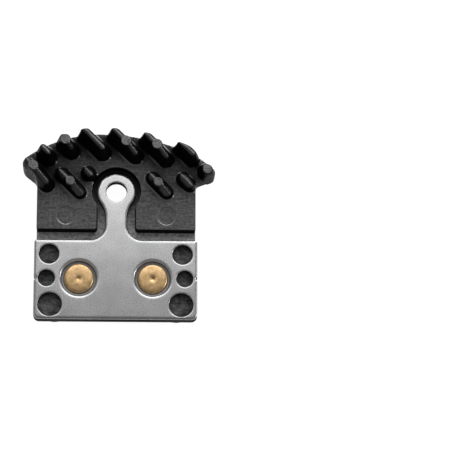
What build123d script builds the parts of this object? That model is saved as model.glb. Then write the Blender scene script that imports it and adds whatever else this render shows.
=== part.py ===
"""Bicycle disc brake pad: a steel backing plate on a finned aluminium casting, with a sintered friction block.

The pad lies on its friction face. The origin is on that face, midway between the two rivets.
+Z runs through the pad to its piston side, +Y runs along the tab to the fins, +X runs along the plate.
All sizes are in millimetres.
"""
from build123d import *
import os
from math import cos, radians, sin, tan

# Layers, from the friction face upwards
FRICTION_T = 1.7
CARRIER_T = 0.4
FLOOR_T = 1.1
STEEL_T = 1.4
BLOCK_PROUD = 0.9

# Steel backing plate
PLATE_W = 31.7
PLATE_TOP = 7.7
PLATE_BOTTOM = -8.1
PLATE_CORNER_R = 1.1
SHOULDER_CORNER_R = 0.5
ROLL_W = 0.42
ROLL_H = 0.18
NOTCH_R = 0.3
PIN_Y = 17.3
PIN_HOLE_D = 4.0
EYE_D = 7.6
NECK_W = 4.2
NECK_FOOT_R = 3.0
NECK_HEAD_R = 5.0

# Relief holes of one half: distance in from the plate's side, height above the rivet row, diameter
RELIEF_HOLES = ((2.9, 4.8, 3.9), (2.45, 0.0, 3.25), (3.15, -5.2, 4.7))

# Rivets and their seats
RIVET_INSET = 8.7
HEAD_D = 5.9
HEAD_T = 0.6
HEAD_EDGE = 0.2
DIMPLE_D = 0.9
DIMPLE_DEPTH = 0.3
SHANK_D = 3.4
FOOT_D = 4.6
SEAT_D = 6.9
SEAT_DEPTH = 0.8
RIVET_PLAY = 0.05

# Friction block, an arc of the rotor's braking track
SWEEP_R = 80.0
FRICTION_INSET = 1.45
FRICTION_TOP = 5.95
FRICTION_BOTTOM = -7.05
FRICTION_TOP_R = 3.3
FRICTION_BOTTOM_R = 2.6
FACE_BOTTOM = -6.9
FACE_SLOPE = 32.0
CARRIER_MARGIN = 0.1

# Casting outline, heights above the pad pin
CASTING_LIP = 0.05
SIDE_STEP = 0.4
EAR_DROP = 0.4
PIN_CLEARANCE = 0.15
CROWN_X = -3.0
CROWN_H = 11.45
LEFT_WING_REACH = 4.1
LEFT_WING_H = 5.1
LEFT_WING_R = 2.0
LEFT_ROOT_H = 1.85
LEFT_ROOT_R = 2.0
RIGHT_HIP_INSET = 2.65
RIGHT_HIP_H = 8.5
RIGHT_WING_REACH = 4.8
RIGHT_WING_H = 3.35
RIGHT_WING_R = 1.2
RIGHT_ROOT_H = 1.55
RIGHT_ROOT_R = 1.2

# Raised block of the casting and its channel for the tab
BLOCK_GAP = 1.85
CHANNEL_W = 7.6
CHANNEL_FOOT_R = 0.5
CHANNEL_HEAD_R = 1.5
EYE_GAP = 0.95
MARK_D = 3.7
MARK_INSET = 5.65
MARK_DROP = 5.0
MARK_DEPTH = 0.12

# Fins, on parallel lines that fall to the right
FIN_ANGLE = 46.0
FIN_PITCH = 4.165
FIN_OFFSET = 3.15
FIN_DRAFT = 9.5
TALL_FIN_H = 5.5
TALL_FIN_W = 3.0
TIP_FIN_H = 3.9
TIP_FIN_W = 3.0
SHORT_FIN_H = 2.6
SHORT_FIN_W = 2.6
RIDGE_W = 0.2
RIDGE_SLOPE = 45.0
RIM_EDGE = 0.5
BOSS_D = 2.2

# Each fin: its line and how far it stands off it, the centres of its two round ends along the line,
# and the place of its boss if it has one
TALL_FINS = (
    (-3, 0.2, -15.3, -10.0, -13.7),
    (-2, 0.0, -15.2, -13.7, None),
    (-1, 0.0, -14.0, -11.5, -13.3),
    (0, 0.0, -12.5, -7.2, None),
    (1, 0.0, -8.3, -2.3, -5.0),
    (2, -0.25, -3.3, 2.3, -0.4),
    (3, -0.6, 2.4, 5.7, None),
)
TIP_FINS = ((3, -0.5, 9.2, 10.0, 9.7),)
SHORT_FINS = (
    (-2, -0.35, -9.65, -4.45, -7.2),
    (-1, -0.65, -6.4, -5.8, None),
    (1, -0.6, 3.1, 7.2, 4.7),
    (2, -0.5, 7.3, 9.2, None),
)

# Flat ribs on the friction side, from the edge of the casting: each rib's line and where its square end lies on it
RIB_W = 2.7
RIB_H = 0.6
RIB_DRAFT = 18.0
RIB_CORNER = 0.5
RIB_LENGTH = 24.0
RIB_ENDS = ((-3, -8.1), (-2, -4.3), (-1, -5.35), (0, -4.4), (1, 7.3), (2, 9.3), (3, 15.3))

# Lugs on the friction side that keep the pad spring in place
LUG_INSET = 1.2
LUG_Y = 9.4
LUG_W = 1.7
LUG_LENGTH = 1.4
LUG_H = 0.7

# Levels that follow from the layers
CARRIER_Z = FRICTION_T
FLOOR_Z = CARRIER_Z + CARRIER_T
STEEL_Z = FLOOR_Z + FLOOR_T
BACK_Z = STEEL_Z + STEEL_T
BLOCK_Z = BACK_Z + BLOCK_PROUD
FIN_TOP_Z = BLOCK_Z + TALL_FIN_H
SEAT_Z = BACK_Z - SEAT_DEPTH

# Widths that follow from the plate
SIDES = (-1, 1)
SIDE_X = PLATE_W / 2 - SIDE_STEP
RIVET_X = PLATE_W / 2 - RIVET_INSET
FRICTION_W = PLATE_W - 2 * FRICTION_INSET

STANDING = (Align.CENTER, Align.CENTER, Align.MIN)
LEVEL_TOLERANCE = 1e-4

FIN_GROUPS = (
    (TALL_FINS, TALL_FIN_W, TALL_FIN_H),
    (TIP_FINS, TIP_FIN_W, TIP_FIN_H),
    (SHORT_FINS, SHORT_FIN_W, SHORT_FIN_H),
)


def at_corner(vertices, x, y):
    """Return the corner of an outline that lies nearest to a given point."""
    return min(vertices, key=lambda corner: (corner.X - x) ** 2 + (corner.Y - y) ** 2)


def on_level(shape, z):
    """Return the edges of a solid that lie flat on one level."""
    flat = [edge for edge in shape.edges() if edge.bounding_box().size.Z < LEVEL_TOLERANCE]
    return [edge for edge in flat if abs(edge.center().Z - z) < LEVEL_TOLERANCE]


def plate_outline():
    """Outline of the steel plate: a wide foot with a nick in each side, a neck and the eye round the pad pin."""
    height = PLATE_TOP - PLATE_BOTTOM
    middle = (PLATE_TOP + PLATE_BOTTOM) / 2
    foot = Pos(0, middle) * Rectangle(PLATE_W, height)
    neck = Pos(0, (PIN_Y + middle) / 2) * Rectangle(NECK_W, PIN_Y - middle)
    outline = foot + neck + Pos(0, PIN_Y) * Circle(EYE_D / 2)
    for side in SIDES:
        outline = fillet(at_corner(outline.vertices(), side * NECK_W / 2, PIN_Y - EYE_D / 2), NECK_HEAD_R)
        outline = fillet(at_corner(outline.vertices(), side * NECK_W / 2, PLATE_TOP), NECK_FOOT_R)
        outline = fillet(at_corner(outline.vertices(), side * PLATE_W / 2, PLATE_TOP), SHOULDER_CORNER_R)
        outline = fillet(at_corner(outline.vertices(), side * PLATE_W / 2, PLATE_BOTTOM), PLATE_CORNER_R)
        outline -= Pos(side * PLATE_W / 2, 0) * Circle(NOTCH_R)
    return outline


def hole(diameter, bottom, depth):
    """Cutter for a straight round hole that stands on a level."""
    return Pos(0, 0, bottom) * Cylinder(diameter / 2, depth, align=STANDING)


def backing_plate():
    """Stamped steel plate with its outer edge rolled over on the piston side."""
    plate = extrude(Pos(0, 0, STEEL_Z) * plate_outline(), STEEL_T)
    back = plate.faces().sort_by(Axis.Z)[-1]
    plate = chamfer(back.edges(), length=ROLL_W, length2=ROLL_H, reference=back)
    plate -= Pos(0, PIN_Y) * hole(PIN_HOLE_D, STEEL_Z, STEEL_T)
    seat = hole(SEAT_D, SEAT_Z, SEAT_DEPTH) + hole(SHANK_D + 2 * RIVET_PLAY, STEEL_Z, STEEL_T)
    for side in SIDES:
        plate -= Pos(side * RIVET_X, 0) * seat
        for inset, y, diameter in RELIEF_HOLES:
            plate -= Pos(side * (PLATE_W / 2 - inset), y) * hole(diameter, STEEL_Z, STEEL_T)
    return plate


def casting_outline():
    """Outline of the casting: ears behind the steel plate, straight sides, and two wings under a wide crown."""
    bottom = PLATE_BOTTOM - CASTING_LIP
    ear_x = PLATE_W / 2
    ear_top = PLATE_TOP - EAR_DROP
    left_tip = (-SIDE_X - LEFT_WING_REACH, PIN_Y + LEFT_WING_H)
    right_tip = (SIDE_X + RIGHT_WING_REACH, PIN_Y + RIGHT_WING_H)
    left_root = (-SIDE_X, PIN_Y + LEFT_ROOT_H)
    right_root = (SIDE_X, PIN_Y + RIGHT_ROOT_H)
    crown = (CROWN_X, PIN_Y + CROWN_H)
    hip = (SIDE_X - RIGHT_HIP_INSET, PIN_Y + RIGHT_HIP_H)
    below = Polyline(
        left_tip,
        left_root,
        (-SIDE_X, ear_top),
        (-ear_x, ear_top),
        (-ear_x, bottom),
        (ear_x, bottom),
        (ear_x, ear_top),
        (SIDE_X, ear_top),
        right_root,
        right_tip,
    )
    left_crown = TangentArc(crown, left_tip, tangent=(-1, 0))
    right_crown = TangentArc(crown, hip, tangent=(1, 0))
    slope = TangentArc(hip, right_tip, tangent=right_crown % 1)
    outline = make_face(below + slope + right_crown + left_crown)
    for point, radius in (
        (left_tip, LEFT_WING_R),
        (right_tip, RIGHT_WING_R),
        (left_root, LEFT_ROOT_R),
        (right_root, RIGHT_ROOT_R),
        ((-ear_x, bottom), PLATE_CORNER_R),
        ((ear_x, bottom), PLATE_CORNER_R),
    ):
        outline = fillet(at_corner(outline.vertices(), *point), radius)
    return outline


def raised_block(outline):
    """Thick part of the casting beside and above the tab, open where the tab lies."""
    foot_y = PLATE_TOP + BLOCK_GAP
    reach = PIN_Y + CROWN_H - foot_y
    wide = 2 * (SIDE_X + RIGHT_WING_REACH)
    area = outline & Pos(0, foot_y + reach) * Rectangle(2 * wide, 2 * reach)
    area -= Pos(0, PIN_Y) * Circle(EYE_D / 2 + EYE_GAP)
    area -= Pos(0, (foot_y + PIN_Y) / 2) * Rectangle(CHANNEL_W, PIN_Y - foot_y)
    for side in SIDES:
        area = fillet(at_corner(area.vertices(), side * CHANNEL_W / 2, foot_y), CHANNEL_FOOT_R)
        area = fillet(at_corner(area.vertices(), side * CHANNEL_W / 2, PIN_Y - EYE_D / 2), CHANNEL_HEAD_R)
    block = extrude(Pos(0, 0, STEEL_Z) * area, BLOCK_Z - STEEL_Z)
    for side in SIDES:
        mark_x = side * (SIDE_X - MARK_INSET)
        block -= Pos(mark_x, PIN_Y - MARK_DROP) * hole(MARK_D, BLOCK_Z - MARK_DEPTH, MARK_DEPTH)
    return block


def on_line(line, off, along, z):
    """Plane on a fin line with its X along the line, measured from the foot of the perpendicular from the pad pin."""
    angle = radians(FIN_ANGLE)
    away = FIN_OFFSET + line * FIN_PITCH + off
    x = away * sin(angle) + along * cos(angle)
    y = PIN_Y + away * cos(angle) - along * sin(angle)
    return Plane((x, y, z), x_dir=(cos(angle), -sin(angle), 0), z_dir=(0, 0, 1))


def fin(line, off, start, end, width, height):
    """Drafted fin on the raised block, with its ridge bevelled along both flanks."""
    length = end - start
    body = extrude(SlotCenterToCenter(length, width), height, taper=FIN_DRAFT)
    eaves = RIDGE_W + 2 * height / tan(radians(RIDGE_SLOPE))
    gable = Plane.YZ * Trapezoid(eaves, height, RIDGE_SLOPE, align=(Align.CENTER, Align.MIN))
    body &= extrude(gable, length + width, both=True)
    return on_line(line, off, (start + end) / 2, BLOCK_Z) * body


def rib(line, end):
    """Flat drafted rib under the casting, running off its edge at the far end."""
    strip = chamfer(Rectangle(RIB_LENGTH, RIB_W).vertices(), RIB_CORNER)
    return on_line(line, 0, end - RIB_LENGTH / 2, FLOOR_Z) * extrude(strip, -RIB_H, taper=RIB_DRAFT)


def heat_sink():
    """One casting: floor under the steel, raised block, fins on the back, flat ribs and lugs on the front."""
    outline = casting_outline()
    casting = extrude(Pos(0, 0, FLOOR_Z) * outline, FLOOR_T) + raised_block(outline)

    envelope = extrude(Pos(0, 0, FLOOR_Z) * outline, FIN_TOP_Z - FLOOR_Z)
    rimmed = chamfer(on_level(envelope, FIN_TOP_Z), RIM_EDGE)
    for fins, width, height in FIN_GROUPS:
        for line, off, start, end, boss in fins:
            casting += fin(line, off, start, end, width, height) & rimmed
            if boss is not None:
                casting += on_line(line, off, boss, BLOCK_Z) * hole(BOSS_D, 0, height) & envelope

    front = extrude(Pos(0, 0, FLOOR_Z - RIB_H) * outline, RIB_H)
    for line, end in RIB_ENDS:
        casting += rib(line, end) & front
    casting -= Pos(0, PIN_Y) * hole(PIN_HOLE_D + 2 * PIN_CLEARANCE, FLOOR_Z, FLOOR_T)
    for side in SIDES:
        lug_x = side * (SIDE_X - LUG_INSET)
        casting += Pos(lug_x, LUG_Y, FLOOR_Z - LUG_H / 2) * Box(LUG_W, LUG_LENGTH, LUG_H)
        casting -= Pos(side * RIVET_X, 0) * hole(SHANK_D + 2 * RIVET_PLAY, FLOOR_Z, FLOOR_T)
        casting -= Pos(side * PLATE_W / 2, 0) * hole(2 * NOTCH_R, FLOOR_Z, FLOOR_T)
    return casting


def friction_outline():
    """Foot of the friction block: a piece of the rotor's braking track with round corners."""
    centre_y = FRICTION_TOP - SWEEP_R
    inner_r = FRICTION_BOTTOM - centre_y
    track = Pos(0, centre_y) * (Circle(SWEEP_R) - Circle(inner_r))
    outline = track & Pos(0, FRICTION_TOP - FRICTION_W / 2) * Rectangle(FRICTION_W, FRICTION_W)
    for side in SIDES:
        outline = fillet(at_corner(outline.vertices(), side * FRICTION_W / 2, FRICTION_TOP), FRICTION_TOP_R)
        outline = fillet(at_corner(outline.vertices(), side * FRICTION_W / 2, FRICTION_BOTTOM), FRICTION_BOTTOM_R)
    return outline


def carrier_plate():
    """Thin plate under the friction block, with countersunk holes for the feet of the rivets."""
    plate = extrude(Pos(0, 0, CARRIER_Z) * offset(friction_outline(), CARRIER_MARGIN), CARRIER_T)
    for side in SIDES:
        foot = Cone(FOOT_D / 2 + RIVET_PLAY, SHANK_D / 2 + RIVET_PLAY, CARRIER_T, align=STANDING)
        plate -= Pos(side * RIVET_X, 0, CARRIER_Z) * foot
    return plate


def friction_block():
    """Sintered block whose inner edge slopes back from the friction face."""
    block = extrude(friction_outline(), FRICTION_T)
    run = FRICTION_T * tan(radians(FACE_SLOPE))
    wedge = Polyline(
        (FACE_BOTTOM, 0),
        (FACE_BOTTOM - run, FRICTION_T),
        (FACE_BOTTOM - FRICTION_W, FRICTION_T),
        (FACE_BOTTOM - FRICTION_W, 0),
        close=True,
    )
    return block - extrude(Plane.YZ * make_face(wedge), FRICTION_W, both=True)


def rivet(side):
    """Rivet with a countersunk foot in the carrier and an upset, punch-marked head in the steel plate."""
    shank_z = FLOOR_Z
    top_z = SEAT_Z + HEAD_T
    head = Cylinder(HEAD_D / 2, HEAD_T, align=STANDING)
    head = chamfer(on_level(head, HEAD_T), HEAD_EDGE)
    body = Pos(0, 0, SEAT_Z) * head
    body += Pos(0, 0, shank_z) * Cylinder(SHANK_D / 2, SEAT_Z - shank_z, align=STANDING)
    body += Pos(0, 0, CARRIER_Z) * Cone(FOOT_D / 2, SHANK_D / 2, CARRIER_T, align=STANDING)
    body -= Pos(0, 0, top_z - DIMPLE_DEPTH) * Cone(0, DIMPLE_D / 2, DIMPLE_DEPTH, align=STANDING)
    return Pos(side * RIVET_X, 0, 0) * body


NODES = {
    "backing_plate": backing_plate(),
    "heat_sink": heat_sink(),
    "carrier_plate": carrier_plate(),
    "friction_block": friction_block(),
    "rivet_left": rivet(-1),
    "rivet_right": rivet(1),
}

os.makedirs("parts", exist_ok=True)
for name, solid in NODES.items():
    export_step(solid, f"parts/{name}.step")
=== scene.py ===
"""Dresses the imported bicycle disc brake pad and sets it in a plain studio.

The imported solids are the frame. The steel plate, the casting, the friction block and its carrier are
copies of them with their edges rounded off, as tumbling and casting leave them. The rivets are spun afresh
in place of theirs. Each piece has a finish of its own. All lengths are in metres.
"""
from math import atan, cos, radians, sin

import bmesh
import bpy
from mathutils import Matrix, Vector


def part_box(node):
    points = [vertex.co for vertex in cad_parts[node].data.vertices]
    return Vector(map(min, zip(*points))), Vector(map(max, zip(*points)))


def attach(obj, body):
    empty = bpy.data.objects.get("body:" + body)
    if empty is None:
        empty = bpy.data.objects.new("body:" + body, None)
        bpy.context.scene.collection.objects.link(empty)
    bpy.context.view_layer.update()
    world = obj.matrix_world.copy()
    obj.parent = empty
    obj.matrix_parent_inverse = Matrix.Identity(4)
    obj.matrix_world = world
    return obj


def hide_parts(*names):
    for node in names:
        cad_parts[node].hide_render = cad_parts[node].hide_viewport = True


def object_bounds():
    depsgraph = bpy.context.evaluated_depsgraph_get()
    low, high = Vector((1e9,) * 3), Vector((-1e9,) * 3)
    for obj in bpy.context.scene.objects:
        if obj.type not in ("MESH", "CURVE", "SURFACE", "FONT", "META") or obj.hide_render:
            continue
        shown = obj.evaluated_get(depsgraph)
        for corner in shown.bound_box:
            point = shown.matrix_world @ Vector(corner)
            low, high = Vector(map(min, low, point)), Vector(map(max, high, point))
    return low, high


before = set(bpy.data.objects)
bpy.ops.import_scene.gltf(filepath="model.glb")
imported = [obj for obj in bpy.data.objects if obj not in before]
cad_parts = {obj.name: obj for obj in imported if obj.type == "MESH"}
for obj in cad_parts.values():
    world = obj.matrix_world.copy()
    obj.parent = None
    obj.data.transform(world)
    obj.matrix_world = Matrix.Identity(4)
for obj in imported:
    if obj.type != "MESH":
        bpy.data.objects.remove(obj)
CAD_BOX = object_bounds()

bl_info = {
    "name": "Bicycle Disc Brake Pad",
    "version": (1, 0, 0),
    "blender": (4, 5, 0),
    "location": "View3D > Sidebar > Brake Pad",
    "description": "Rounds the edges of a packed brake pad, gives it its finishes and sets it in a studio",
    "category": "Object",
}

MM = 0.001
BODY = "root"
SIDES = ("left", "right")

# Modelling limits: points nearer than this are one, faces this level are one face, edges this steep are
# sharp, a normal that rises more than this belongs to a flat, and one that rises less than this to a flank
SAME_POINT = 0.002 * MM
FLAT_ANGLE = radians(1)
SHARP_ANGLE = radians(30)
UPRIGHT = cos(radians(2))
STEEP = 0.5

# How far a point moves towards its neighbours in one pass of smoothing
SMOOTHING = 0.5

# The photo's frame in pixels, the width of the camera's sensor and the nearest distance that it shows
FRAME_PX = 450
SENSOR_W = 36 * MM
NEAREST = 10 * MM

# Where the camera looks: the top of the pad pin's eye, and its place in the frame in pixels
EYE_TOP = Vector((0, 17.3, 4.6)) * MM
EYE_PX = (116.5, 192.0)

# Half the width of the floor
FLOOR_REACH = 3

# Lines across the plate through the middles of its holes: lower holes, rivets, upper holes and eye
HOLE_ROWS = (-5.2 * MM, 0, 4.8 * MM, 17.3 * MM)

# How far outside a rivet's head the rim of its seat lies at most
SEAT_ROOM = 1 * MM

# Width of the broken edge under a rivet's head, and the number of steps that a rivet is spun in
HEAD_BREAK = 0.05 * MM
RIVET_STEPS = 72

# Fins that fall away behind a boss, on parallel lines that are counted from the pad pin: the angle of the
# lines, the first one's distance and their pitch, then each fin's line, and in millimetres how far it
# stands off that line, its boss and its end along it, and its width
FIN_ANGLE = radians(46)
FIN_OFFSET = 3.15 * MM
FIN_PITCH = 4.165 * MM
FALLING_FINS = (
    (-3, 0.2, -13.7, -10.0, 3.0),
    (-1, 0.0, -13.3, -11.5, 3.0),
    (1, 0.0, -5.0, -2.3, 3.0),
    (2, -0.25, -0.4, 2.3, 3.0),
    (-2, -0.35, -7.2, -4.45, 2.6),
    (1, -0.6, 4.7, 7.2, 2.6),
)

# Radius of a boss, the level of the block that the fins stand on, and how far the fall of a fin is carried,
# in lengths from its boss to its end
BOSS_R = 1.1 * MM
BLOCK_Z = 5.5 * MM
RUN_OUT = 1.1

# Where tones change on the pad, each from one place to another: at the top of the plate's foot, from the
# step beside it, painted paler as painted light, up the channel, above the casting's floor, at the fins'
# feet and above the seats' floors, which are painted darker as painted shade
PLATE_TOP_Y = (7.5 * MM, 7.6 * MM)
STEP_Y = (9.6 * MM, 19 * MM)
STEP_Z = (3.4 * MM, 3.6 * MM)
FIN_FOOT_Z = (BLOCK_Z + 0.1 * MM, BLOCK_Z + 0.5 * MM)
SEAT_Z = (4.05 * MM, 4.2 * MM)

# How far a normal rises where one tone turns into another: the casting's friction side into its back, the
# steel's torn walls, partly painted shade, into bare steel, the coat's walls painted dark as painted shade
# into its edges painted paler as painted sheen, those into flats, and the raw sides of the friction metal
# into its ground face
BACK_RISE = (-0.1, 0.1)
TORN_RISE = (0.1, 0.4)
EDGE_RISE = (0.5, 0.85)
FLAT_RISE = (0.92, 0.99)
GROUND_RISE = (0.8, 0.97)

# Ambient occlusion levels at which the painted shade in the coat's corners begins to fade, and where it is
# gone
UNSHADED_AO = (0.45, 0.9)

# Levels that most of a noise lies between, wider ones that give it less contrast, and those of a sum of two
NOISE = (0.35, 0.65)
WIDE_NOISE = (0.3, 0.7)
NOISE_SUM = (0.75, 1.25)

# How dark and how pale the blotches under the plate are, as parts of the coat's tone there
BLOTCHES = (0.6, 1.7)

# Levels between which the friction metal's grains turn pale and its patches warm, and the rim of its pores
PALE_GRAIN = (0.62, 0.98)
WARM_PATCH = (0.55, 0.75)
PORE_RIM = (0.12, 0.34)

# Parts of a direction between which the light of the pale room changes: the fill and the walls from the
# front to the fins' side, and upwards from the walls to the fill
FILL_Y = (-0.5, 0.5)
WALL_Y = (-0.3, 0.7)
WALL_Z = (0.5, 0.75)

# Soft lamps: name, turn from the fin side to the right, height above the floor,
# then distance from the pad, width, depth and power
LAMPS = (
    ("key_lamp", radians(0), radians(55), 0.18, 0.19, 0.14, 0.165),
    ("rim_lamp", radians(15), radians(20), 0.3, 0.4, 0.14, 0.7),
    ("glint_lamp", radians(95), radians(24), 0.3, 0.08, 0.08, 0.22),
)


def linear(code):
    """Linear colour with full alpha from an sRGB hex value."""
    parts = [int(code[place : place + 2], 16) / 255 for place in (1, 3, 5)]
    return [part / 12.92 if part <= 0.04045 else ((part + 0.055) / 1.055) ** 2.4 for part in parts] + [1]


def per(size):
    """Texture scale at which one feature of a pattern is about this many millimetres wide."""
    return 1 / (size * MM)


def add(tree, kind, sockets=None, **settings):
    """Add a node with its settings, and set or link its input sockets.

    A socket goes by its name or its number. On a Map Range node 0 is the value, 1 and 2 are the limits that
    it comes from, and 3 and 4 those that it goes to. On a Mix node of colours 0 is the share, and 6 and 7
    are the colours.
    """
    node = tree.nodes.new("ShaderNode" + kind)
    for name, value in settings.items():
        setattr(node, name, value)
    for socket, value in (sockets or {}).items():
        if isinstance(value, bpy.types.NodeSocket):
            tree.links.new(value, node.inputs[socket])
        else:
            node.inputs[socket].default_value = value
    return node


def blank(name):
    """New material with an empty node tree."""
    material = bpy.data.materials.new(name)
    material.use_nodes = True
    material.node_tree.nodes.clear()
    return material, material.node_tree


def copied(source):
    """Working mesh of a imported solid, with its loose triangles joined."""
    shape = bmesh.new()
    shape.from_mesh(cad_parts[source].data)
    bmesh.ops.remove_doubles(shape, verts=shape.verts, dist=SAME_POINT)
    bmesh.ops.dissolve_degenerate(shape, edges=shape.edges, dist=SAME_POINT)
    return shape


def whole_faces(shape, rows=()):
    """Dissolve the triangles of each flat face into one, or into bands between rows of holes."""
    for row in rows:
        cut = bmesh.ops.bisect_plane(
            shape,
            geom=shape.verts[:] + shape.edges[:] + shape.faces[:],
            dist=SAME_POINT,
            plane_co=(0, row, 0),
            plane_no=(0, 1, 0),
        )
        for item in cut["geom_cut"]:
            if isinstance(item, bmesh.types.BMEdge):
                item.seam = True
    bmesh.ops.dissolve_limit(
        shape,
        angle_limit=FLAT_ANGLE,
        verts=shape.verts,
        edges=shape.edges,
        delimit={"SEAM"},
    )
    return shape


def round_off(shape, edges, radius, segments=3):
    """Round a set of edges."""
    bmesh.ops.bevel(
        shape,
        geom=edges,
        offset=radius,
        offset_type="OFFSET",
        segments=segments,
        profile=0.5,
        affect="EDGES",
        material=-1,
    )


def outer_edges(shape):
    """Sharp edges that stand out."""
    return [edge for edge in shape.edges if edge.calc_face_angle_signed() > SHARP_ANGLE]


def finished(shape, name, source, material):
    """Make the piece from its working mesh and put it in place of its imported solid."""
    mesh = bpy.data.meshes.new(name)
    shape.to_mesh(mesh)
    shape.free()
    mesh.materials.append(material)
    mesh.shade_smooth()
    piece = bpy.data.objects.new(name, mesh)
    bpy.context.scene.collection.objects.link(piece)
    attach(piece, BODY)
    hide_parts(source)
    return piece


def skinned(piece, width):
    """Working mesh of a piece under an even skin of small faces."""
    skin = piece.modifiers.new("Even skin", "REMESH")
    skin.mode = "VOXEL"
    skin.voxel_size = width
    shape = bmesh.new()
    shape.from_object(piece, bpy.context.evaluated_depsgraph_get())
    piece.modifiers.remove(skin)
    return shape


def inner(group):
    """Points of a group whose neighbours are all in it."""
    return {vert for vert in group if all(edge.other_vert(vert) in group for edge in vert.link_edges)}


def passes(radius, width):
    """How many times a skin is smoothed to round its edges to about a radius."""
    return round(2 * (radius / width) ** 2)


def soften(piece, shape, look):
    """Put a skin on its piece, smooth it to round edges and fill corners, and thin it on the flats."""
    shape.to_mesh(piece.data)
    shape.free()
    piece.data.shade_smooth()
    smooth = piece.modifiers.new("Rounded edges and corners", "SMOOTH")
    smooth.factor = SMOOTHING
    smooth.iterations = passes(look.edge, look.skin)
    fewer = piece.modifiers.new("Fewer faces on the flats", "DECIMATE")
    fewer.ratio = look.kept
    piece.modifiers.new("Even normals", "WEIGHTED_NORMAL")


def seat_rims(shape):
    """Upper rims of the rivets' seats in the steel plate."""
    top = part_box("backing_plate")[1].z
    rims = []
    for side in SIDES:
        low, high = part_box(f"rivet_{side}")
        centre = (low + high) / 2
        reach = (high.x - low.x) / 2 + SEAT_ROOM
        for edge in outer_edges(shape):
            points = [vert.co for vert in edge.verts]
            near = all((point - centre).xy.length < reach for point in points)
            if near and all(abs(point.z - top) < SAME_POINT for point in points):
                rims.append(edge)
    return rims


def drop_fins(standing, look):
    """Let the fins fall away from their bosses to their ends."""
    along = Vector((cos(FIN_ANGLE), -sin(FIN_ANGLE)))
    across = Vector((sin(FIN_ANGLE), cos(FIN_ANGLE)))
    for line, off, boss, end, width in FALLING_FINS:
        away = FIN_OFFSET + line * FIN_PITCH + off * MM
        start = boss * MM + BOSS_R
        length = end * MM + width / 2 * MM - start
        for vert in standing:
            spot = vert.co.xy - EYE_TOP.xy
            past = (spot.dot(along) - start) / length
            if 0 < past < RUN_OUT and abs(spot.dot(across) - away) < width / 2 * MM:
                vert.co.z -= look.fall * past * (vert.co.z - BLOCK_Z)


def smooth_out(shape, verts, radius, width):
    """Smooth some points of a skin until its edges are rounded to about a radius."""
    for turn in range(passes(radius, width)):
        bmesh.ops.smooth_vert(
            shape,
            verts=verts,
            factor=SMOOTHING,
            use_axis_x=True,
            use_axis_y=True,
            use_axis_z=True,
        )


def round_ridges(shape, raised, look):
    """Round the fins' ridges and ends, and keep the flat tops of their bosses."""
    flats = {vert for vert in raised if vert.normal.z > UPRIGHT}
    # A ridge is narrower than a boss, so only bosses are left of the flats without their rims
    discs = inner(inner(flats))
    for turn in range(2):
        discs |= {edge.other_vert(vert) for vert in discs for edge in vert.link_edges} & flats
    smooth_out(shape, list(raised - discs), look.ridge, look.skin)


def hollow_feet(shape, standing, look):
    """Let the fins run out into the block in a hollow."""
    feet = {vert for vert in standing if vert.normal.z < STEEP}
    for turn in range(round(look.hollow / look.skin)):
        feet |= {edge.other_vert(vert) for vert in feet for edge in vert.link_edges}
    low = [vert for vert in feet if BLOCK_Z - look.skin < vert.co.z < look.fin_foot]
    smooth_out(shape, low, look.hollow, look.skin)


def rivet_outline(look, low, high):
    """Half section of a rivet from its foot up to the punch mark in its head, as radii and heights."""
    head = (high.x - low.x) / 2
    neck_z = high.z - look.head
    waist_z = low.z + look.foot_height
    return (
        (0, low.z),
        (look.foot / 2, low.z),
        (look.shank / 2, waist_z),
        (look.shank / 2, neck_z),
        (head - HEAD_BREAK, neck_z),
        (head, neck_z + HEAD_BREAK),
        (head, high.z - look.drop - look.crown),
        (head - 0.08 * look.edge, high.z - 0.6 * look.drop - look.crown),
        (head - 0.3 * look.edge, high.z - 0.28 * look.drop - look.crown),
        (head - 0.6 * look.edge, high.z - 0.08 * look.drop - look.crown),
        (head - look.edge, high.z - look.crown),
        (0.7 * head, high.z - 0.5 * look.crown),
        (0.4 * head, high.z - 0.15 * look.crown),
        (1.35 * look.dimple, high.z),
        (0.95 * look.dimple, high.z - 0.1 * look.dimple),
        (0.3 * look.dimple, high.z - 0.62 * look.dimple),
        (0, high.z - 0.68 * look.dimple),
    )


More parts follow.
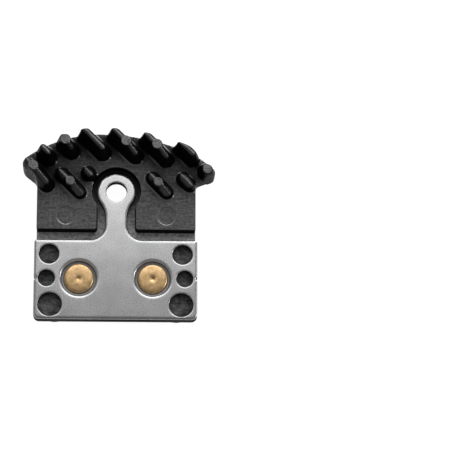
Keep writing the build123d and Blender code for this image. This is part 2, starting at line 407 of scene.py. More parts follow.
def stamped_steel(look):
    """Stamped steel, tumbled: an even satin grey with a fine grain and faint marks from rolling."""
    material, tree = blank("Tumbled stamped steel")
    place = add(tree, "TexCoord").outputs["Object"]
    # The grain of tumbled steel is finer than the render shows, so it is drawn this coarse
    grain = add(
        tree,
        "TexNoise",
        {"Vector": place, "Scale": per(look.grain / MM), "Detail": 5, "Roughness": 0.7},
    )
    cloud = add(tree, "TexNoise", {"Vector": place, "Scale": per(4), "Detail": 3})
    stretch = add(tree, "Mapping", {"Vector": place, "Scale": (per(5), per(0.3), per(5))})
    rolled = add(tree, "TexNoise", {"Vector": stretch.outputs[0], "Scale": 1, "Detail": 2})
    rough = add(
        tree,
        "MapRange",
        {0: grain.outputs[0], 1: WIDE_NOISE[0], 2: WIDE_NOISE[1], 3: 0.26, 4: 0.31},
    )
    speck = add(tree, "MapRange", {0: grain.outputs[0], 1: WIDE_NOISE[0], 2: WIDE_NOISE[1]})
    tone = add(tree, "Mix", {0: speck.outputs[0], 6: look.shade, 7: look.colour}, data_type="RGBA")
    wear_and_light = add(tree, "MapRange", {0: cloud.outputs[0], 1: NOISE[0], 2: NOISE[1], 3: 0.92, 4: 1.06})
    tinted = add(tree, "VectorMath", {0: tone.outputs[2], "Scale": wear_and_light.outputs[0]}, operation="SCALE")
    # The punch leaves the walls of the holes and the outer edge torn and dull, and they are painted near
    # black as painted shade too
    bare = add(tree, "NewGeometry").outputs["True Normal"]
    turned = add(
        tree,
        "VectorTransform",
        {0: bare},
        vector_type="NORMAL",
        convert_from="WORLD",
        convert_to="OBJECT",
    )
    facing = add(tree, "SeparateXYZ", {0: turned.outputs[0]})
    level = add(tree, "Math", {0: facing.outputs[2]}, operation="ABSOLUTE")
    torn_and_shaded = add(
        tree,
        "MapRange",
        {0: level.outputs[0], 1: TORN_RISE[0], 2: TORN_RISE[1], 3: 1, 4: 0},
        interpolation_type="SMOOTHSTEP",
    )
    # Painted shade: the floors of the rivets' seats are darkened halfway to the colour of the walls
    spot = add(tree, "SeparateXYZ", {0: place})
    seat_floor_shade = add(tree, "MapRange", {0: spot.outputs[2], 1: SEAT_Z[0], 2: SEAT_Z[1], 3: 0.5, 4: 0})
    dark = add(tree, "Math", {0: torn_and_shaded.outputs[0], 1: seat_floor_shade.outputs[0]}, operation="MAXIMUM")
    final = add(tree, "Mix", {0: dark.outputs[0], 6: tinted.outputs[0], 7: look.torn_and_shaded}, data_type="RGBA")
    metal = add(tree, "MapRange", {0: dark.outputs[0], 3: 1, 4: 0})
    relief = add(
        tree,
        "Math",
        {0: rolled.outputs[0], 1: 0.5, 2: grain.outputs[0]},
        operation="MULTIPLY_ADD",
    )
    bump = add(tree, "Bump", {"Strength": 0.12, "Distance": 0.02 * MM, "Height": relief.outputs[0]})
    shader = add(
        tree,
        "BsdfPrincipled",
        {
            "Base Color": final.outputs[2],
            "Metallic": metal.outputs[0],
            "Specular IOR Level": 0,
            "Roughness": rough.outputs[0],
            "Normal": bump.outputs[0],
        },
    )
    add(tree, "OutputMaterial", {"Surface": shader.outputs[0]})
    return material


def black_coating(look):
    """Black coated die cast aluminium: walls painted deep black and corners darkened as painted shade, and
    streaky flats and edges painted paler as painted sheen.
    """
    material, tree = blank("Black coated die cast aluminium")
    own = add(tree, "TexCoord")
    place = own.outputs["Object"]
    stretch = add(tree, "Mapping", {"Vector": place, "Scale": (per(3), per(0.4), per(3))})
    streak = add(
        tree,
        "TexNoise",
        {"Vector": stretch.outputs[0], "Scale": 1, "Detail": 5, "Roughness": 0.7},
    )
    skin = add(tree, "TexNoise", {"Vector": place, "Scale": per(look.grain / MM), "Detail": 3})
    mixed = add(tree, "Math", {0: streak.outputs[0], 1: skin.outputs[0]}, operation="ADD")
    level = add(tree, "MapRange", {0: mixed.outputs[0], 1: NOISE_SUM[0], 2: NOISE_SUM[1]})
    open_flat = add(tree, "Mix", {0: level.outputs[0], 6: look.colour, 7: look.streak}, data_type="RGBA")
    # Painted shade: where the casting is occluded, in corners and between the fins, its coat is darkened to
    # near black
    reach = add(tree, "AmbientOcclusion", {"Distance": look.shade_reach}, samples=16, only_local=True)
    free = add(
        tree,
        "MapRange",
        {0: reach.outputs["AO"], 1: UNSHADED_AO[0], 2: UNSHADED_AO[1]},
        interpolation_type="SMOOTHSTEP",
    )
    # Painted light: the step beside the plate is painted paler and kept clear of the painted shade, and what
    # the plate covers is blotched, at a level set darker as painted shade
    spot = add(tree, "SeparateXYZ", {0: place})
    near = add(tree, "MapRange", {0: spot.outputs[1], 1: STEP_Y[0], 2: STEP_Y[1], 3: 1, 4: 0})
    step = add(
        tree,
        "MapRange",
        {0: spot.outputs[2], 1: STEP_Z[0], 2: STEP_Z[1], 3: near.outputs[0], 4: 0},
    )
    open_part = add(tree, "Math", {0: free.outputs[0], 1: step.outputs[0]}, operation="MAXIMUM")
    painted_light = add(
        tree,
        "Mix",
        {0: open_part.outputs[0], 6: look.corner_shade, 7: open_flat.outputs[2]},
        data_type="RGBA",
    )
    cloud = add(tree, "TexNoise", {"Vector": place, "Scale": per(1.2), "Detail": 4})
    blotch = add(
        tree,
        "MapRange",
        {
            0: cloud.outputs[0],
            1: NOISE[0],
            2: NOISE[1],
            3: BLOTCHES[0] * look.covered_shade,
            4: BLOTCHES[1] * look.covered_shade,
        },
    )
    paler = add(tree, "MapRange", {0: step.outputs[0], 3: 1, 4: look.step})
    beside = add(
        tree,
        "MapRange",
        {
            0: spot.outputs[1],
            1: PLATE_TOP_Y[0],
            2: PLATE_TOP_Y[1],
            3: blotch.outputs[0],
            4: paler.outputs[0],
        },
    )
    # Tone by facing, as painted light: walls near black as painted shade, edges and flats paler as painted
    # sheen, boss tops paler still as a painted highlight; the friction side is darker than the back
    facing = add(tree, "SeparateXYZ", {0: own.outputs["Normal"]})
    on_fin = add(tree, "MapRange", {0: spot.outputs[2], 1: FIN_FOOT_Z[0], 2: FIN_FOOT_Z[1]})
    wear_and_light = add(tree, "MapRange", {0: on_fin.outputs[0], 3: beside.outputs[0], 4: look.boss})
    side = add(
        tree,
        "MapRange",
        {0: facing.outputs[2], 1: BACK_RISE[0], 2: BACK_RISE[1], 3: look.front, 4: wear_and_light.outputs[0]},
    )
    flat = add(tree, "VectorMath", {0: painted_light.outputs[2], "Scale": side.outputs[0]}, operation="SCALE")
    upright = add(tree, "Math", {0: facing.outputs[2]}, operation="ABSOLUTE")
    bent = add(
        tree,
        "MapRange",
        {0: upright.outputs[0], 1: EDGE_RISE[0], 2: EDGE_RISE[1]},
        interpolation_type="SMOOTHSTEP",
    )
    corner = add(tree, "Mix", {0: on_fin.outputs[0], 6: look.painted_light, 7: look.fin_edge}, data_type="RGBA")
    unshaded_edge = add(tree, "Math", {0: bent.outputs[0], 1: free.outputs[0]}, operation="MULTIPLY")
    edge = add(tree, "Mix", {0: unshaded_edge.outputs[0], 6: look.wall, 7: corner.outputs[2]}, data_type="RGBA")
    even = add(
        tree,
        "MapRange",
        {0: upright.outputs[0], 1: FLAT_RISE[0], 2: FLAT_RISE[1]},
        interpolation_type="SMOOTHSTEP",
    )
    tone = add(tree, "Mix", {0: even.outputs[0], 6: edge.outputs[2], 7: flat.outputs[0]}, data_type="RGBA")
    rough = add(tree, "MapRange", {0: even.outputs[0], 3: 0.22, 4: 0.6})
    gloss = add(tree, "MapRange", {0: even.outputs[0], 3: 0.8, 4: 0.35})
    relief = add(
        tree,
        "Math",
        {0: streak.outputs[0], 1: 0.4, 2: skin.outputs[0]},
        operation="MULTIPLY_ADD",
    )
    # The fins keep the dimpled skin of the casting, which breaks up their shine
    dents = add(tree, "MapRange", {0: on_fin.outputs[0], 3: 0.1, 4: 1})
    bump = add(
        tree,
        "Bump",
        {"Strength": dents.outputs[0], "Distance": 0.1 * MM, "Height": relief.outputs[0]},
    )
    shader = add(
        tree,
        "BsdfPrincipled",
        {
            "Base Color": tone.outputs[2],
            "Metallic": gloss.outputs[0],
            "Roughness": rough.outputs[0],
            "Specular IOR Level": 0.15,
            "Specular Tint": look.graze,
            "Normal": bump.outputs[0],
        },
    )
    add(tree, "OutputMaterial", {"Surface": shader.outputs[0]})
    return material


def dull_steel(look):
    """Thin steel sheet, dulled by the heat of sintering: dark grey with soft blotches."""
    material, tree = blank("Heat dulled steel sheet")
    place = add(tree, "TexCoord").outputs["Object"]
    cloud = add(tree, "TexNoise", {"Vector": place, "Scale": per(1.5), "Detail": 4})
    level = add(tree, "MapRange", {0: cloud.outputs[0], 1: NOISE[0], 2: NOISE[1]})
    tone = add(tree, "Mix", {0: level.outputs[0], 6: look.carrier_shade, 7: look.carrier}, data_type="RGBA")
    shader = add(tree, "BsdfPrincipled", {"Base Color": tone.outputs[2], "Metallic": 1, "Roughness": 0.5})
    add(tree, "OutputMaterial", {"Surface": shader.outputs[0]})
    return material


def sintered_metal(look):
    """Sintered friction metal: a ground face with pale grains, dark pores and scratches, and raw sides."""
    material, tree = blank("Ground sintered friction metal")
    own = add(tree, "TexCoord")
    place = own.outputs["Object"]
    grit = add(
        tree,
        "TexNoise",
        {"Vector": place, "Scale": per(look.grit / MM), "Detail": 4, "Roughness": 0.75},
    )
    pores = add(tree, "TexVoronoi", {"Vector": place, "Scale": per(1.7 * look.grit / MM)}, feature="F1")
    turn = add(tree, "Mapping", {"Vector": place, "Rotation": (0, 0, radians(50))})
    stretch = add(tree, "Mapping", {"Vector": turn.outputs[0], "Scale": (per(2.2), per(0.22), per(2.2))})
    ground = add(tree, "TexNoise", {"Vector": stretch.outputs[0], "Scale": 1, "Detail": 3})
    cloud = add(tree, "TexNoise", {"Vector": place, "Scale": per(3.5), "Detail": 3})
    # Grains take a pale cut from the stone, and the scratches run through them
    cut = add(tree, "Math", {0: ground.outputs[0], 1: 0.5, 2: grit.outputs[0]}, operation="MULTIPLY_ADD")
    pale = add(tree, "MapRange", {0: cut.outputs[0], 1: PALE_GRAIN[0], 2: PALE_GRAIN[1]})
    base = add(tree, "Mix", {0: pale.outputs[0], 6: look.colour, 7: look.pale}, data_type="RGBA")
    warm = add(tree, "MapRange", {0: cloud.outputs[0], 1: WARM_PATCH[0], 2: WARM_PATCH[1], 4: 0.6})
    tinted = add(tree, "Mix", {0: warm.outputs[0], 6: base.outputs[2], 7: look.copper}, data_type="RGBA")
    deep = add(tree, "MapRange", {0: pores.outputs[0], 1: PORE_RIM[0], 2: PORE_RIM[1], 3: 0.9, 4: 0})
    face = add(tree, "Mix", {0: deep.outputs[0], 6: tinted.outputs[2], 7: look.pore}, data_type="RGBA")
    facing = add(tree, "SeparateXYZ", {0: own.outputs["Normal"]})
    level = add(tree, "Math", {0: facing.outputs[2]}, operation="ABSOLUTE")
    even = add(tree, "MapRange", {0: level.outputs[0], 1: GROUND_RISE[0], 2: GROUND_RISE[1]})
    tone = add(tree, "Mix", {0: even.outputs[0], 6: look.raw, 7: face.outputs[2]}, data_type="RGBA")
    sunk = add(tree, "Math", {0: cut.outputs[0], 1: deep.outputs[0]}, operation="SUBTRACT")
    bump = add(tree, "Bump", {"Strength": 0.6, "Distance": 0.05 * MM, "Height": sunk.outputs[0]})
    shader = add(
        tree,
        "BsdfPrincipled",
        {"Base Color": tone.outputs[2], "Metallic": 0.35, "Roughness": 0.5, "Normal": bump.outputs[0]},
    )
    add(tree, "OutputMaterial", {"Surface": shader.outputs[0]})
    return material


def worked_brass(look):
    """Brass rivet wire, upset by a punch: warm, mottled and finely scratched."""
    material, tree = blank("Upset brass")
    place = add(tree, "TexCoord").outputs["Object"]
    mottle = add(tree, "TexNoise", {"Vector": place, "Scale": per(0.7), "Detail": 4, "Roughness": 0.65})
    turn = add(tree, "Mapping", {"Vector": place, "Rotation": (0, 0, radians(-25))})
    stretch = add(tree, "Mapping", {"Vector": turn.outputs[0], "Scale": (per(1.5), per(0.2), per(1.5))})
    scratch = add(tree, "TexNoise", {"Vector": stretch.outputs[0], "Scale": 1, "Detail": 3})
    level = add(tree, "MapRange", {0: mottle.outputs[0], 1: NOISE[0], 2: NOISE[1]})
    tone = add(tree, "Mix", {0: level.outputs[0], 6: look.shade, 7: look.colour}, data_type="RGBA")
    rough = add(
        tree,
        "MapRange",
        {0: scratch.outputs[0], 1: WIDE_NOISE[0], 2: WIDE_NOISE[1], 3: 0.3, 4: 0.46},
    )
    relief = add(tree, "Math", {0: scratch.outputs[0], 1: mottle.outputs[0]}, operation="ADD")
    bump = add(tree, "Bump", {"Strength": 0.4, "Distance": 0.03 * MM, "Height": relief.outputs[0]})
    shader = add(
        tree,
        "BsdfPrincipled",
        {
            "Base Color": tone.outputs[2],
            "Metallic": 1,
            "Roughness": rough.outputs[0],
            "Normal": bump.outputs[0],
        },
    )
    add(tree, "OutputMaterial", {"Surface": shader.outputs[0]})
    return material


def white_floor(look):
    """White studio paper: it looks white to the camera and in reflections, and keeps a soft shadow."""
    material, tree = blank("White studio paper")
    path = add(tree, "LightPath")
    seen = add(
        tree,
        "Math",
        {0: path.outputs["Is Camera Ray"], 1: path.outputs["Is Glossy Ray"]},
        operation="ADD",
    )
    shown = add(
        tree,
        "Math",
        {0: seen.outputs[0], 1: path.outputs["Is Transmission Ray"]},
        operation="ADD",
        use_clamp=True,
    )
    paper = add(tree, "Mix", {0: shown.outputs[0], 6: look.paper, 7: look.shadow}, data_type="RGBA")
    glow = add(tree, "Math", {0: shown.outputs[0], 1: look.glow}, operation="MULTIPLY")
    matt = add(tree, "BsdfDiffuse", {"Color": paper.outputs[2]})
    bright = add(tree, "Emission", {"Strength": glow.outputs[0]})
    both = add(tree, "AddShader", {0: matt.outputs[0], 1: bright.outputs[0]})
    add(tree, "OutputMaterial", {"Surface": both.outputs[0]})
    return material


def paper_floor(scene, look):
    """Lay the white floor."""
    ground = bmesh.new()
    bmesh.ops.create_grid(ground, x_segments=1, y_segments=1, size=FLOOR_REACH)
    mesh = bpy.data.meshes.new("floor")
    ground.to_mesh(mesh)
    ground.free()
    mesh.materials.append(white_floor(look))
    floor = bpy.data.objects.new("floor", mesh)
    scene.collection.objects.link(floor)


def pale_room(scene, look):
    """Light the pad from pale walls and a soft fill, behind which the camera sees white."""
    world = bpy.data.worlds.new("Studio")
    scene.world = world
    world.use_nodes = True
    tree = world.node_tree
    tree.nodes.clear()
    path = add(tree, "LightPath")
    way = add(tree, "SeparateXYZ", {0: add(tree, "TexCoord").outputs["Generated"]})
    fill = add(
        tree,
        "MapRange",
        {0: way.outputs[1], 1: FILL_Y[0], 2: FILL_Y[1], 3: look.fill, 4: look.back_fill},
    )
    walls = add(
        tree,
        "MapRange",
        {0: way.outputs[1], 1: WALL_Y[0], 2: WALL_Y[1], 3: look.front_wall, 4: look.around},
    )
    around = add(
        tree,
        "MapRange",
        {0: way.outputs[2], 1: WALL_Z[0], 2: WALL_Z[1], 3: walls.outputs[0], 4: fill.outputs[0]},
    )
    level = add(tree, "MapRange", {0: path.outputs["Is Camera Ray"], 3: around.outputs[0], 4: 1})
    sky = add(tree, "Background", {"Strength": level.outputs[0]})
    add(tree, "OutputWorld", {"Surface": sky.outputs[0]})


def soft_lamps(scene, look):
    """Hang the soft lamps round the pad and turn them to it."""
    middle = (CAD_BOX[0] + CAD_BOX[1]) / 2
    for name, turn, height, distance, width, depth, power in LAMPS:
        light = bpy.data.lights.new(name, "AREA")
        light.shape = "RECTANGLE"
        light.size = width
        light.size_y = depth
        light.energy = power * look.light
        lamp = bpy.data.objects.new(name, light)
        away = Matrix.Rotation(-turn, 3, "Z") @ Vector((0, cos(height), sin(height)))
        lamp.location = middle + away * distance
        lamp.rotation_euler = away.to_track_quat("Z", "Y").to_euler()
        lamp.visible_camera = False
        scene.collection.objects.link(lamp)


def photo_camera(scene, look):
    """Stand the camera at the photo's angle, with the pad pin's eye at its place in the frame."""
    data = bpy.data.cameras.new("camera")
    data.sensor_width = SENSOR_W / MM
    data.lens = look.lens
    data.clip_start = NEAREST
    camera = bpy.data.objects.new("camera", data)
    right = Vector((1, 0, 0))
    back = Vector((0, -sin(look.tilt), cos(look.tilt)))
    axes = Matrix((right, back.cross(right), back)).transposed().to_4x4()
    px_per_lens = FRAME_PX / (SENSOR_W / MM) * look.lens
    pan = atan((EYE_PX[0] - FRAME_PX / 2) / px_per_lens)
    dip = atan((EYE_PX[1] - FRAME_PX / 2) / px_per_lens)
    camera.matrix_world = (
        Matrix.Translation(EYE_TOP + back * look.distance)
        @ axes
        @ Matrix.Rotation(look.roll, 4, "Z")
        @ Matrix.Rotation(pan, 4, "Y")
        @ Matrix.Rotation(dip, 4, "X")
    )
    scene.collection.objects.link(camera)
    scene.camera = camera


class PlateLook(bpy.types.PropertyGroup):
    """Sizes and colours of the steel backing plate"""

    edge: bpy.props.FloatProperty(
        name="Edge radius",
        description="Rounding that tumbling leaves on the stamped edges",
        default=0.26 * MM,
        unit="LENGTH",
        precision=5,
    )
    skin: bpy.props.FloatProperty(
        name="Mesh width",
        description="Width of one face of the plate's skin",
        default=0.09 * MM,
        unit="LENGTH",
        precision=5,
    )
    kept: bpy.props.FloatProperty(
        name="Share of faces kept",
        description="Share of the skin's faces that are kept where it bends",
        default=0.3,
        subtype="FACTOR",
    )
    seat_edge: bpy.props.FloatProperty(
        name="Seat edge radius",
        description="Rounding of the rim of each rivet's seat",
        default=0.45 * MM,
        unit="LENGTH",
        precision=5,
    )
    grain: bpy.props.FloatProperty(
        name="Grain",
        description="Width of one grain of the satin surface",
        default=0.22 * MM,
        unit="LENGTH",
        precision=5,
    )
    colour: bpy.props.FloatVectorProperty(
        name="Steel", description="Bare steel", size=4, subtype="COLOR", default=linear("#BCBCBD")
    )
    shade: bpy.props.FloatVectorProperty(
        name="Steel in the grain",
        description="Steel between the grains",
        size=4,
        subtype="COLOR",
        default=linear("#9A9A9B"),
    )
    # Colour of the walls: partly dull torn steel, partly painted shade
    torn_and_shaded: bpy.props.FloatVectorProperty(
        name="Torn walls",
        description="Walls that the punch leaves",
        size=4,
        subtype="COLOR",
        default=linear("#18181A"),
    )


class CastingLook(bpy.types.PropertyGroup):
    """Sizes and colours of the finned casting"""

    edge: bpy.props.FloatProperty(
        name="Edge radius",
        description="Rounding of the casting's edges and of the corners at the feet of its fins",
        default=0.18 * MM,
        unit="LENGTH",
        precision=5,
    )
    ridge: bpy.props.FloatProperty(
        name="Fin rounding",
        description="Rounding of the fins' ridges and ends",
        default=0.5 * MM,
        unit="LENGTH",
        precision=5,
    )
    fin_foot: bpy.props.FloatProperty(
        name="Fin foot",
        description="Height above the floor from which the fins are rounded",
        default=6.4 * MM,
        unit="LENGTH",
        precision=5,
    )
    hollow: bpy.props.FloatProperty(
        name="Foot hollow",
        description="Rounding of the corners at the feet of the fins",
        default=0.55 * MM,
        unit="LENGTH",
        precision=5,
    )
    fall: bpy.props.FloatProperty(
        name="Fin fall",
        description="Share of its height by which a fin falls from its boss to its end",
        default=0.45,
        subtype="FACTOR",
    )
    skin: bpy.props.FloatProperty(
        name="Mesh width",
        description="Width of one face of the casting's skin",
        default=0.11 * MM,
        unit="LENGTH",
        precision=5,
    )
    kept: bpy.props.FloatProperty(
        name="Share of faces kept",
        description="Share of the skin's faces that are kept where it bends",
        default=0.22,
        subtype="FACTOR",
    )
    grain: bpy.props.FloatProperty(
        name="Skin",
        description="Width of one dimple of the coat",
        default=0.5 * MM,
        unit="LENGTH",
        precision=5,
    )
    # The flats' coat is painted paler than the walls, as painted sheen
    colour: bpy.props.FloatVectorProperty(
        name="Rubbed coat",
        description="Black coat on the flats",
        size=4,
        subtype="COLOR",
        default=linear("#3C3C3C"),
    )
    streak: bpy.props.FloatVectorProperty(
        name="Streaks",
        description="Paler streaks on the flats",
        size=4,
        subtype="COLOR",
        default=linear("#606060"),
    )
    # Reach of the painted shade that darkens the coat near walls and fins
    shade_reach: bpy.props.FloatProperty(
        name="Shelter",
        description="How far a wall or a fin keeps the tumbling stones off the flats",
        default=4 * MM,
        unit="LENGTH",
        precision=5,
    )
    # Colour of the painted shade in the coat's corners
    corner_shade: bpy.props.FloatVectorProperty(
        name="Sheltered coat",
        description="Black coat in the corners",
        size=4,
        subtype="COLOR",
        default=linear("#161617"),
    )
    # Painted light: how much paler the step beside the plate is painted
    step: bpy.props.FloatProperty(
        name="Step tone",
        description="How much paler the step beside the plate is",
        default=3.4,
        subtype="FACTOR",
    )
    # Painted highlight: how much paler the tops of the bosses are painted
    boss: bpy.props.FloatProperty(
        name="Boss tone",
        description="How much paler the tops of the bosses are",
        default=1.5,
        subtype="FACTOR",
    )
    front: bpy.props.FloatProperty(
        name="Front tone",
        description="How dark the coat on the friction side is",
        default=0.35,
        subtype="FACTOR",
    )
    # Painted shade: the level of the coat under the plate's holes, around which its blotches vary
    covered_shade: bpy.props.FloatProperty(
        name="Covered tone",
        description="How dark the coat under the plate's holes is",
        default=0.85,
        subtype="FACTOR",
    )
    # Painted sheen on the fins' rounded edges
    fin_edge: bpy.props.FloatVectorProperty(
        name="Fin edges",
        description="Black coat on the rounded edges of the fins",
        size=4,
        subtype="COLOR",
        default=linear("#444444"),
    )
    # Painted sheen on the rounded edges
    painted_light: bpy.props.FloatVectorProperty(
        name="Rubbed edges",
        description="Black coat on the rounded edges",
        size=4,
        subtype="COLOR",
        default=linear("#686868"),
    )
    # Painted shade: the walls are painted near black
    wall: bpy.props.FloatVectorProperty(
        name="Walls",
        description="Black coat on the walls",
        size=4,
        subtype="COLOR",
        default=linear("#1E1E1F"),
    )
    graze: bpy.props.FloatVectorProperty(
        name="Sheen",
        description="Sheen of the coat along the surface",
        size=4,
        subtype="COLOR",
        default=linear("#404040"),
    )


class FrictionLook(bpy.types.PropertyGroup):
    """Sizes and colours of the friction block and its carrier"""

    edge: bpy.props.FloatProperty(
        name="Edge radius",
        description="Rounding of the block's edges",
        default=0.1 * MM,
        unit="LENGTH",
        precision=5,
    )
    carrier_edge: bpy.props.FloatProperty(
        name="Carrier edge radius",
        description="Rounding of the thin carrier's edges",
        default=0.06 * MM,
        unit="LENGTH",
        precision=5,
    )
    grit: bpy.props.FloatProperty(
        name="Grit",
        description="Width of one grain of the sintered metal",
        default=0.4 * MM,
        unit="LENGTH",
        precision=5,
    )
    colour: bpy.props.FloatVectorProperty(
        name="Sintered metal", description="Main tone", size=4, subtype="COLOR", default=linear("#5E4F3F")
    )
    pale: bpy.props.FloatVectorProperty(
        name="Pale grains", description="Bright grains", size=4, subtype="COLOR", default=linear("#C6B296")
    )
    pore: bpy.props.FloatVectorProperty(
        name="Pores", description="Dark pores", size=4, subtype="COLOR", default=linear("#241C18")
    )
    copper: bpy.props.FloatVectorProperty(
        name="Copper", description="Warm patches", size=4, subtype="COLOR", default=linear("#9A7850")
    )
    raw: bpy.props.FloatVectorProperty(
        name="Raw sides",
        description="Sides as they came from the mould",
        size=4,
        subtype="COLOR",
        default=linear("#6E5C4A"),
    )
    carrier: bpy.props.FloatVectorProperty(
        name="Carrier", description="Thin steel carrier", size=4, subtype="COLOR", default=linear("#8C8A86")
    )
    carrier_shade: bpy.props.FloatVectorProperty(
        name="Carrier blotches",
        description="Darker blotches",
        size=4,
        subtype="COLOR",
        default=linear("#5E5A56"),
    )


class RivetLook(bpy.types.PropertyGroup):
    """Sizes and colours of the rivets"""

    edge: bpy.props.FloatProperty(
        name="Edge width",
        description="Width of the rounding round the upset head",
        default=0.6 * MM,
        unit="LENGTH",
        precision=5,
    )
    drop: bpy.props.FloatProperty(
        name="Edge drop",
        description="Height of the rounding round the upset head",
        default=0.42 * MM,
        unit="LENGTH",
        precision=5,
    )
    crown: bpy.props.FloatProperty(
        name="Crown",
        description="Height of the head's middle above its rim",
        default=0.07 * MM,
        unit="LENGTH",
        precision=5,
    )
    dimple: bpy.props.FloatProperty(
        name="Dimple radius",
        description="Radius of the mark that the punch leaves",
        default=0.45 * MM,
        unit="LENGTH",
        precision=5,
    )
    head: bpy.props.FloatProperty(
        name="Head height",
        description="Height of the upset head",
        default=0.6 * MM,
        unit="LENGTH",
        precision=5,
    )
    shank: bpy.props.FloatProperty(
        name="Shank width",
        description="Diameter of the shank",
        default=3.4 * MM,
        unit="LENGTH",
        precision=5,
    )
    foot: bpy.props.FloatProperty(
        name="Foot width",
        description="Diameter of the countersunk foot",
        default=4.6 * MM,
        unit="LENGTH",
        precision=5,
    )
    foot_height: bpy.props.FloatProperty(
        name="Foot height",
        description="Height of the countersunk foot",
        default=0.4 * MM,
        unit="LENGTH",
        precision=5,
    )
    colour: bpy.props.FloatVectorProperty(
        name="Brass", description="Bright brass", size=4, subtype="COLOR", default=linear("#D2B084")
    )
    shade: bpy.props.FloatVectorProperty(
        name="Tarnish", description="Darker mottling", size=4, subtype="COLOR", default=linear("#A68A60")
    )


class StudioLook(bpy.types.PropertyGroup):
    """Camera, light and floor"""

    distance: bpy.props.FloatProperty(
        name="Camera distance", description="From the pad pin's eye", default=0.45, unit="LENGTH"
    )
    tilt: bpy.props.FloatProperty(
        name="Camera tilt", description="Away from straight down", default=radians(15), subtype="ANGLE"
    )
    roll: bpy.props.FloatProperty(
        name="Camera roll",
        description="Turn about the line of sight",
        default=radians(0.6),
        subtype="ANGLE",
    )
    lens: bpy.props.FloatProperty(
        name="Lens", description="Focal length in millimetres", default=183.96, unit="CAMERA"
    )
    light: bpy.props.FloatProperty(
        name="Light", description="Level of the soft lamps", default=1, subtype="FACTOR"
    )
    around: bpy.props.FloatProperty(
        name="Walls", description="Level of the pale wall behind the fins", default=0.9, subtype="FACTOR"
    )
    front_wall: bpy.props.FloatProperty(
        name="Front wall", description="Level of the wall behind the camera", default=0.65, subtype="FACTOR"
    )
    fill: bpy.props.FloatProperty(
        name="Fill", description="Level of the light from the camera's side", default=0.24, subtype="FACTOR"
    )
    back_fill: bpy.props.FloatProperty(
        name="Back fill",
        description="Level of the light from the fins' side",
        default=0.4,
        subtype="FACTOR",
    )
    glow: bpy.props.FloatProperty(
        name="Paper level",
        description="How white the floor looks in a shadow",
        default=0.97,
        subtype="FACTOR",
    )
    paper: bpy.props.FloatVectorProperty(
        name="Paper",
        description="Floor as the light finds it",
        size=4,
        subtype="COLOR",
        default=linear("#E8E8E6"),
    )
    shadow: bpy.props.FloatVectorProperty(
        name="Shadow share",
        description="Part of the floor that takes the shadow",
        size=4,
        subtype="COLOR",
        default=linear("#606060"),
    )


class BRAKEPAD_OT_plate(bpy.types.Operator):
    """Round the stamped edges of the steel backing plate and give it its satin finish"""

    bl_idname = "brake_pad.plate"
    bl_label = "Backing Plate"

    def execute(self, context):
        look = context.scene.pad_plate
        shape = whole_faces(copied("backing_plate"), HOLE_ROWS)
        round_off(shape, seat_rims(shape), look.seat_edge, segments=4)
        piece = finished(shape, "steel_plate", "backing_plate", stamped_steel(look))
        soften(piece, skinned(piece, look.skin), look)
        return {"FINISHED"}


class BRAKEPAD_OT_casting(bpy.types.Operator):
    """Round the edges and fill the corners of the finned casting and give it its black coat"""

    bl_idname = "brake_pad.casting"
    bl_label = "Finned Casting"

    def execute(self, context):
        look = context.scene.pad_casting
        shape = copied("heat_sink")
        piece = finished(shape, "finned_casting", "heat_sink", black_coating(look))
        shape = skinned(piece, look.skin)
        shape.normal_update()
        raised = {vert for vert in shape.verts if vert.co.z > look.fin_foot}
        standing = [vert for vert in shape.verts if vert.co.z > BLOCK_Z + look.skin]
        drop_fins(standing, look)
        round_ridges(shape, raised, look)
        hollow_feet(shape, standing, look)
        soften(piece, shape, look)
        return {"FINISHED"}


class BRAKEPAD_OT_friction(bpy.types.Operator):
    """Round the edges of the friction block and its carrier and give them their finishes"""

    bl_idname = "brake_pad.friction"
    bl_label = "Friction Block"

    def execute(self, context):
        look = context.scene.pad_friction
        shape = whole_faces(copied("carrier_plate"), HOLE_ROWS[1:2])
        round_off(shape, outer_edges(shape), look.carrier_edge)
        carrier = finished(shape, "carrier_sheet", "carrier_plate", dull_steel(look))
        shape = whole_faces(copied("friction_block"))
        round_off(shape, outer_edges(shape), look.edge)
        metal = sintered_metal(look)
        block = finished(shape, "sintered_block", "friction_block", metal)
        for piece in (carrier, block):
            piece.modifiers.new("Even normals", "WEIGHTED_NORMAL")
        return {"FINISHED"}


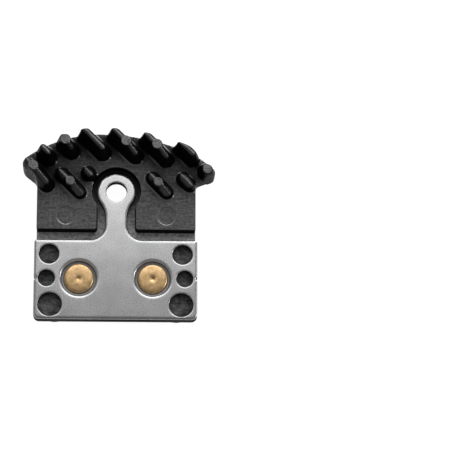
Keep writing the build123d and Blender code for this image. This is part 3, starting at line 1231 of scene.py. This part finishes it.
class BRAKEPAD_OT_rivets(bpy.types.Operator):
    """Spin the two rivets, with crowned and punched heads, and give them their brass"""

    bl_idname = "brake_pad.rivets"
    bl_label = "Rivets"

    def execute(self, context):
        look = context.scene.pad_rivets
        brass = worked_brass(look)
        for side in SIDES:
            low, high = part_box(f"rivet_{side}")
            centre = (low + high) / 2
            outline = rivet_outline(look, low, high)
            shape = bmesh.new()
            line = [shape.verts.new((centre.x + radius, centre.y, z)) for radius, z in outline]
            runs = [shape.edges.new(pair) for pair in zip(line, line[1:])]
            bmesh.ops.spin(
                shape,
                geom=line + runs,
                cent=(centre.x, centre.y, 0),
                axis=(0, 0, 1),
                angle=radians(360),
                steps=RIVET_STEPS,
                use_merge=True,
            )
            bmesh.ops.remove_doubles(shape, verts=shape.verts, dist=SAME_POINT)
            bmesh.ops.recalc_face_normals(shape, faces=shape.faces)
            piece = finished(shape, f"brass_rivet_{side}", f"rivet_{side}", brass)
            piece.modifiers.new("Even normals", "WEIGHTED_NORMAL")
        return {"FINISHED"}


class BRAKEPAD_OT_studio(bpy.types.Operator):
    """Make the white floor, the pale room, the soft lamps and the camera"""

    bl_idname = "brake_pad.studio"
    bl_label = "Studio"

    def execute(self, context):
        scene = context.scene
        look = scene.pad_studio
        scene.view_settings.view_transform = "Standard"
        paper_floor(scene, look)
        pale_room(scene, look)
        soft_lamps(scene, look)
        photo_camera(scene, look)
        return {"FINISHED"}


LOOKS = {
    "pad_plate": PlateLook,
    "pad_casting": CastingLook,
    "pad_friction": FrictionLook,
    "pad_rivets": RivetLook,
    "pad_studio": StudioLook,
}
OPERATORS = (
    BRAKEPAD_OT_plate,
    BRAKEPAD_OT_casting,
    BRAKEPAD_OT_friction,
    BRAKEPAD_OT_rivets,
    BRAKEPAD_OT_studio,
)


class BRAKEPAD_PT_sidebar(bpy.types.Panel):
    """Sizes, colours and steps of the brake pad"""

    bl_label = "Brake Pad"
    bl_space_type = "VIEW_3D"
    bl_region_type = "UI"
    bl_category = "Brake Pad"

    def draw(self, context):
        for (name, look), operator in zip(LOOKS.items(), OPERATORS):
            box = self.layout.box()
            for value in look.__annotations__:
                box.prop(getattr(context.scene, name), value)
            box.operator(operator.bl_idname)


CLASSES = (*LOOKS.values(), *OPERATORS, BRAKEPAD_PT_sidebar)


def register():
    """Register the classes and hang the settings on the scene."""
    for made in CLASSES:
        bpy.utils.register_class(made)
    for name, look in LOOKS.items():
        setattr(bpy.types.Scene, name, bpy.props.PointerProperty(type=look))


def unregister():
    """Take the settings off the scene and unregister the classes."""
    for name in LOOKS:
        delattr(bpy.types.Scene, name)
    for made in reversed(CLASSES):
        bpy.utils.unregister_class(made)


def main():
    """Build every piece and the studio."""
    register()
    bpy.ops.brake_pad.plate()
    bpy.ops.brake_pad.casting()
    bpy.ops.brake_pad.friction()
    bpy.ops.brake_pad.rivets()
    bpy.ops.brake_pad.studio()


if __name__ == "__main__":
    main()
